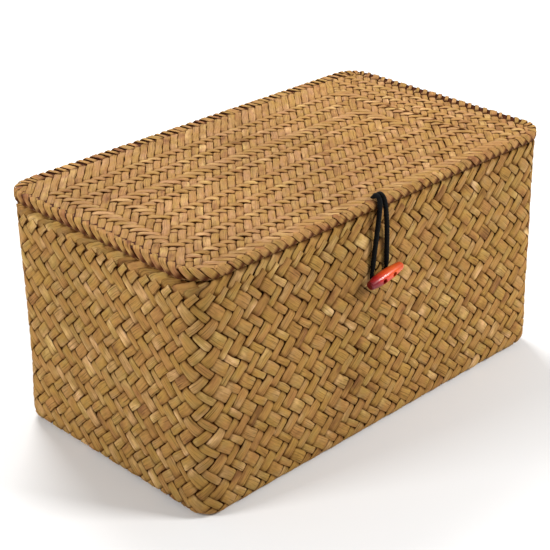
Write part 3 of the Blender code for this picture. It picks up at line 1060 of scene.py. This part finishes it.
# The elastic's route, as in the CAD but up to 1.8 mm lower round the toggle, clear of its thread
LOOP_ROUTE = [
    (-0.0129, -0.0762, 0.1490),
    (-0.0130, -0.0790, 0.1535),
    (-0.0130, -0.0832, 0.1600),
    (-0.0131, -0.0868, 0.1656),
    (-0.0132, -0.0895, 0.1681),
    (-0.0132, -0.0920, 0.1665),
    (-0.0130, -0.0926, 0.1620),
    (-0.0131, -0.0922, 0.1550),
    (-0.0138, -0.0912, 0.1420),
    (-0.0147, -0.0902, 0.1280),
    (-0.0158, -0.0900, 0.1150),
    (-0.0153, -0.0900, 0.1112),
    (-0.0128, -0.0900, 0.1095),
    (-0.0092, -0.0900, 0.1092),
    (-0.0058, -0.0900, 0.1095),
    (-0.0031, -0.0900, 0.1114),
    (-0.0027, -0.0900, 0.1155),
    (-0.0031, -0.0902, 0.1280),
    (-0.0044, -0.0912, 0.1420),
    (-0.0066, -0.0922, 0.1550),
    (-0.0083, -0.0926, 0.1620),
    (-0.0094, -0.0920, 0.1665),
    (-0.0099, -0.0895, 0.1681),
    (-0.0101, -0.0868, 0.1656),
    (-0.0101, -0.0832, 0.1600),
    (-0.0101, -0.0790, 0.1535),
    (-0.0103, -0.0762, 0.1490),
]


def smooth_curve(route, spacing):
    """Evenly spaced points on a smooth curve through the route's points, and its length."""
    route = [Vector(point) for point in route]
    last = len(route) - 1
    fine = []
    for i in range(last):
        lead_in = (route[i + 1] - route[max(i - 1, 0)]) / 6
        lead_out = (route[min(i + 2, last)] - route[i]) / 6
        part = interpolate_bezier(route[i], route[i] + lead_in, route[i + 1] - lead_out, route[i + 1], 30)
        fine += part[:-1]
    fine.append(route[-1])
    fine = np.array(fine)
    gone = np.concatenate(([0], np.cumsum(np.linalg.norm(np.diff(fine, axis=0), axis=1))))
    wanted = np.linspace(0, gone[-1], max(4, round(gone[-1] / spacing)) + 1)
    return np.stack([np.interp(wanted, gone, fine[:, k]) for k in range(3)], axis=1), gone[-1]


def carried_frames(points):
    """Two directions square to the path at each point, carried along it without twisting."""
    ahead = np.roll(points, -1, axis=0) - np.roll(points, 1, axis=0)
    ahead[0], ahead[-1] = points[1] - points[0], points[-1] - points[-2]
    ahead /= np.linalg.norm(ahead, axis=1)[:, None]
    side = np.cross(ahead[0], (0.3, 0.2, 0.93))
    sides = []
    for direction in ahead:
        side = side - direction * (side @ direction)
        side = side / np.linalg.norm(side)
        sides.append(side)
    sides = np.array(sides)
    return sides, np.cross(ahead, sides)


def laid_cord(points, radius, plies, twist, around=16):
    """A cord of twisted or braided plies along the points. A braid (plies 0) has crossing ribs."""
    sides, others = carried_frames(points)
    gone = np.concatenate(([0], np.cumsum(np.linalg.norm(np.diff(points, axis=0), axis=1))))
    angle = np.linspace(0, 2 * math.pi, around + 1)[:-1][None, :]
    run = gone[:, None] / twist * 2 * math.pi
    if plies:
        rib = np.cos(plies * (angle - run / plies))
    else:
        rib = np.sin(4 * angle + run) * np.sin(4 * angle - run)
    thick = radius * (1 - CORD_RIBS / 2 + CORD_RIBS / 2 * rib)
    ends = np.minimum(gone, gone[-1] - gone)[:, None] / radius
    thick = thick * np.sqrt(np.clip(1 - (1 - np.clip(ends, 0, 1)) ** 2, 0.06, 1))
    rings = (
        points[:, None, :]
        + sides[:, None, :] * (np.cos(angle) * thick)[:, :, None]
        + others[:, None, :] * (np.sin(angle) * thick)[:, :, None]
    )
    bundle = Bundle()
    # The shade paints each rib's top lighter and the grooves between darker
    bundle.add(rings, gone[:, None], angle / math.pi - 1, 0.5, 0.5 + 0.5 * rib)
    return bundle


def finish_loop():
    """The elastic loop comes up through the lid, hangs over its front and goes round behind the toggle."""
    points, length = smooth_curve(LOOP_ROUTE, 0.0006)
    above_toggle = smooth_step((points[:, 2] - SLACK_FROM_Z) / SLACK_RISE)
    outside_lid = smooth_step((SLACK_FROM_Y - points[:, 1]) / SLACK_RUN)
    slack = above_toggle * outside_lid
    points[:, 1] -= LOOP_SWELL * slack
    radius = (LOOP_CORD_RADIUS + LOOP_SWELL * slack)[:, None]
    bundle = laid_cord(points, radius, 0, BRAID_TWIST)
    loop = bundle.piece("closing_loop_cord", black_cord)
    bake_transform(loop)
    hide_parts("closing_loop")
    line, _ = smooth_curve(LOOP_ROUTE, 0.0015)


def finish_knot():
    """An overhand knot of the same cord, under the lid."""
    turn = np.linspace(0, 2 * math.pi, 241)
    slant = np.array((LOOP_HOLE_TOP - LOOP_KNOT_CENTRE).normalized())
    side = np.array((1.0, 0.0, 0.0))
    other = np.cross(slant, side)
    size = 1.12 * MM
    a = (np.sin(turn) + 2 * np.sin(2 * turn)) * size
    b = (np.cos(turn) - 2 * np.cos(2 * turn)) * size
    c = -np.sin(3 * turn) * 1.15 * MM
    points = np.array(LOOP_KNOT_CENTRE) + a[:, None] * side + b[:, None] * other + c[:, None] * slant
    bundle = laid_cord(points, LOOP_CORD_RADIUS, 0, BRAID_TWIST)
    knot = bundle.piece("closing_loop_knot_cord", black_cord)
    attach(knot, "lid")
    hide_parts("closing_loop_knot")


def finish_ties():
    """Two turns of twisted cord tie the lid to the rim at the back."""
    for side, x in (("left", -TIE_SPACING / 2), ("right", TIE_SPACING / 2)):
        turn = np.linspace(0.35, 4 * math.pi - 0.35, 200)
        drift = (turn / (4 * math.pi) - 0.5) * 2.1 * TIE_CORD_RADIUS
        points = np.stack(
            (
                x + drift,
                HINGE_POINT.y + np.cos(turn) * TIE_RING_RADIUS,
                HINGE_POINT.z + np.sin(turn) * TIE_RING_RADIUS,
            ),
            axis=1,
        )
        bundle = laid_cord(points, TIE_CORD_RADIUS, 3, 0.004, around=12)
        tie = bundle.piece(f"hinge_tie_cord_{side}", black_cord)
        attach(tie, "basket")
        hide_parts(f"hinge_tie_{side}")


def toggle_point(along):
    """A point on the toggle's own middle line."""
    return TOGGLE_CENTRE + Vector((along * math.cos(TOGGLE_TILT), 0, along * math.sin(TOGGLE_TILT)))


def toggle_radius(along):
    """The radius between the cut end and the nose."""
    end, end_radius = (CUT_END, CUT_RADIUS) if along < THICKEST else (NOSE, NOSE_RADIUS)
    away = (along - THICKEST) / (end - THICKEST)
    return THICKEST_RADIUS - (THICKEST_RADIUS - end_radius) * away**2


def finish_toggle():
    """The turned toggle, with two drilled holes and a softened cut end."""
    quarter = np.linspace(0, math.pi / 2, 9)
    places = [CUT_END + CUT_ROUNDING * (1 - math.cos(a)) for a in quarter]
    rounding = [CUT_ROUNDING * (1 - math.sin(a)) for a in quarter]
    outline = [(CUT_END, 0.0008), (CUT_END, 0.0014)]
    outline += [(place, toggle_radius(place) - lost) for place, lost in zip(places, rounding)]
    outline += [(along, toggle_radius(along)) for along in np.linspace(-0.0138, 0.0118, 44)]
    outline += [
        (NOSE + (TIP - NOSE) * math.sin(a), NOSE_RADIUS * math.cos(a))
        for a in np.linspace(0, math.pi / 2 - 0.12, 14)
    ]
    around = 80
    angle = np.linspace(0, 2 * math.pi, around + 1)[:-1]
    rings = np.array([[(x, -r * math.sin(a), r * math.cos(a)) for a in angle] for x, r in outline])
    count = len(outline)
    points = [tuple(p) for ring in rings for p in ring] + [(CUT_END, 0, 0), (TIP, 0, 0)]
    faces = []
    for k in range(count - 1):
        for a in range(around):
            b = (a + 1) % around
            faces.append((k * around + a, (k + 1) * around + a, (k + 1) * around + b, k * around + b))
    for a in range(around):
        b = (a + 1) % around
        faces.append((count * around, a, b))
        faces.append((count * around + 1, (count - 1) * around + b, (count - 1) * around + a))
    mesh = bpy.data.meshes.new("toggle_turned")
    mesh.from_pydata(points, [], faces)
    turned = new_piece("toggle_turned", mesh, lacquer)
    turned.matrix_world = Matrix.Translation(TOGGLE_CENTRE) @ Matrix.Rotation(-TOGGLE_TILT, 4, "Y")
    drills = []
    for side in (-1, 1):
        bpy.ops.mesh.primitive_cylinder_add(
            vertices=40,
            radius=TOGGLE_HOLE_RADIUS,
            depth=0.012,
            location=toggle_point(side * TOGGLE_HOLE_SPACING / 2) - Vector((0, 0, 0.0006)),
            rotation=(math.pi / 2, 0, 0),
        )
        drill = bpy.context.object
        modifier = turned.modifiers.new("hole", "BOOLEAN")
        modifier.operation, modifier.solver, modifier.object = "DIFFERENCE", "EXACT", drill
        drills.append(drill)
    bpy.context.view_layer.update()
    made = bpy.data.meshes.new_from_object(turned.evaluated_get(bpy.context.evaluated_depsgraph_get()))
    made.transform(turned.matrix_world)
    for old in [turned, *drills]:
        bpy.data.objects.remove(old)
    made.materials.clear()
    made.shade_smooth()
    made.set_sharp_from_angle(angle=math.radians(35))
    toggle = new_piece("toggle_bead", made, lacquer)
    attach(toggle, "toggle")
    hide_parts("toggle")


def finish_thread():
    """Thread from the toggle's holes through the front wall, with a stitch inside."""
    first, second = toggle_point(-TOGGLE_HOLE_SPACING / 2), toggle_point(TOGGLE_HOLE_SPACING / 2)
    turn_in = Vector((0.0010, 0, 0))
    route = [
        first + Vector((0, -0.0026, 0)),
        first,
        Vector((first.x, BODY_LOW.y, first.z)),
        Vector((first.x, INNER_FACE_Y, first.z)),
        Vector((first.x, INNER_FACE_Y + 0.0008, first.z)) + turn_in,
        Vector((second.x, INNER_FACE_Y + 0.0008, second.z)) - turn_in,
        Vector((second.x, INNER_FACE_Y, second.z)),
        Vector((second.x, BODY_LOW.y, second.z)),
        second,
        second + Vector((0, -0.0026, 0)),
    ]
    points, _ = smooth_curve(route, 0.0004)
    bundle = laid_cord(points, THREAD_RADIUS, 2, 0.0014, around=10)
    thread = bundle.piece("toggle_thread_cord", dark_thread)
    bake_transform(thread)
    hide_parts("toggle_thread")


# ---------------------------------------------------------------- studio


def build_studio():
    floor_shape = bpy.data.meshes.new("floor")
    size = 3.0
    floor_shape.from_pydata(
        [(-size, -size, 0), (size, -size, 0), (size, size, 0), (-size, size, 0)], [], [(0, 1, 2, 3)]
    )
    n = Nodes("floor")
    n.set({"Base Color": (0.75, 0.75, 0.75, 1), "Roughness": 0.9})
    floor = new_piece("floor", floor_shape, n.material)

    world = bpy.data.worlds.new("studio")
    bpy.context.scene.world = world
    world.use_nodes = True
    sky = world.node_tree.nodes["Background"]
    sky.inputs["Color"].default_value = (1, 1, 1, 1)
    sky.inputs["Strength"].default_value = 0.40
    # Name, place, watts and size
    for name, place, power, size in (
        ("back", (0.35, 0.85, 1.15), 18.6, 0.6),
        ("right", (0.60, -1.05, 0.95), 20.0, 0.4),
        ("left", (-1.20, 0.30, 0.70), 11.5, 0.4),
    ):
        light = bpy.data.lights.new(name, "AREA")
        light.energy = power
        light.size = size
        lamp = bpy.data.objects.new(name, light)
        lamp.location = place
        lamp.rotation_euler = (Vector((0, 0, 0.1)) - Vector(place)).to_track_quat("-Z", "Y").to_euler()
        bpy.context.scene.collection.objects.link(lamp)

    view = bpy.context.scene.view_settings
    view.view_transform = "Standard"


def build_camera():
    """The photograph's viewpoint: from the front's left, looking down on the lid."""
    target = Vector((0, 0, 0.08264))
    place = Vector((-0.62907, -0.63663, 0.52533))
    roll = math.radians(-0.482)
    back = (place - target).normalized()
    right = Vector((0, 0, 1)).cross(back).normalized()
    up = back.cross(right)
    across = right * math.cos(roll) + up * math.sin(roll)
    above = up * math.cos(roll) - right * math.sin(roll)
    data = bpy.data.cameras.new("camera")
    data.lens = 97.12
    data.sensor_width = 36
    data.shift_x, data.shift_y = -0.0229, -0.0105
    data.clip_start = 0.01
    camera = bpy.data.objects.new("camera", data)
    camera.matrix_world = Matrix.Translation(place) @ Matrix((across, above, back)).transposed().to_4x4()
    bpy.context.scene.collection.objects.link(camera)
    bpy.context.scene.camera = camera


build_camera()
build_studio()
finish_loop()
finish_knot()
finish_ties()
finish_toggle()
finish_thread()
build_walls()
build_base()
build_lining()
build_rim()
build_lid_top()
build_underside()
build_border()
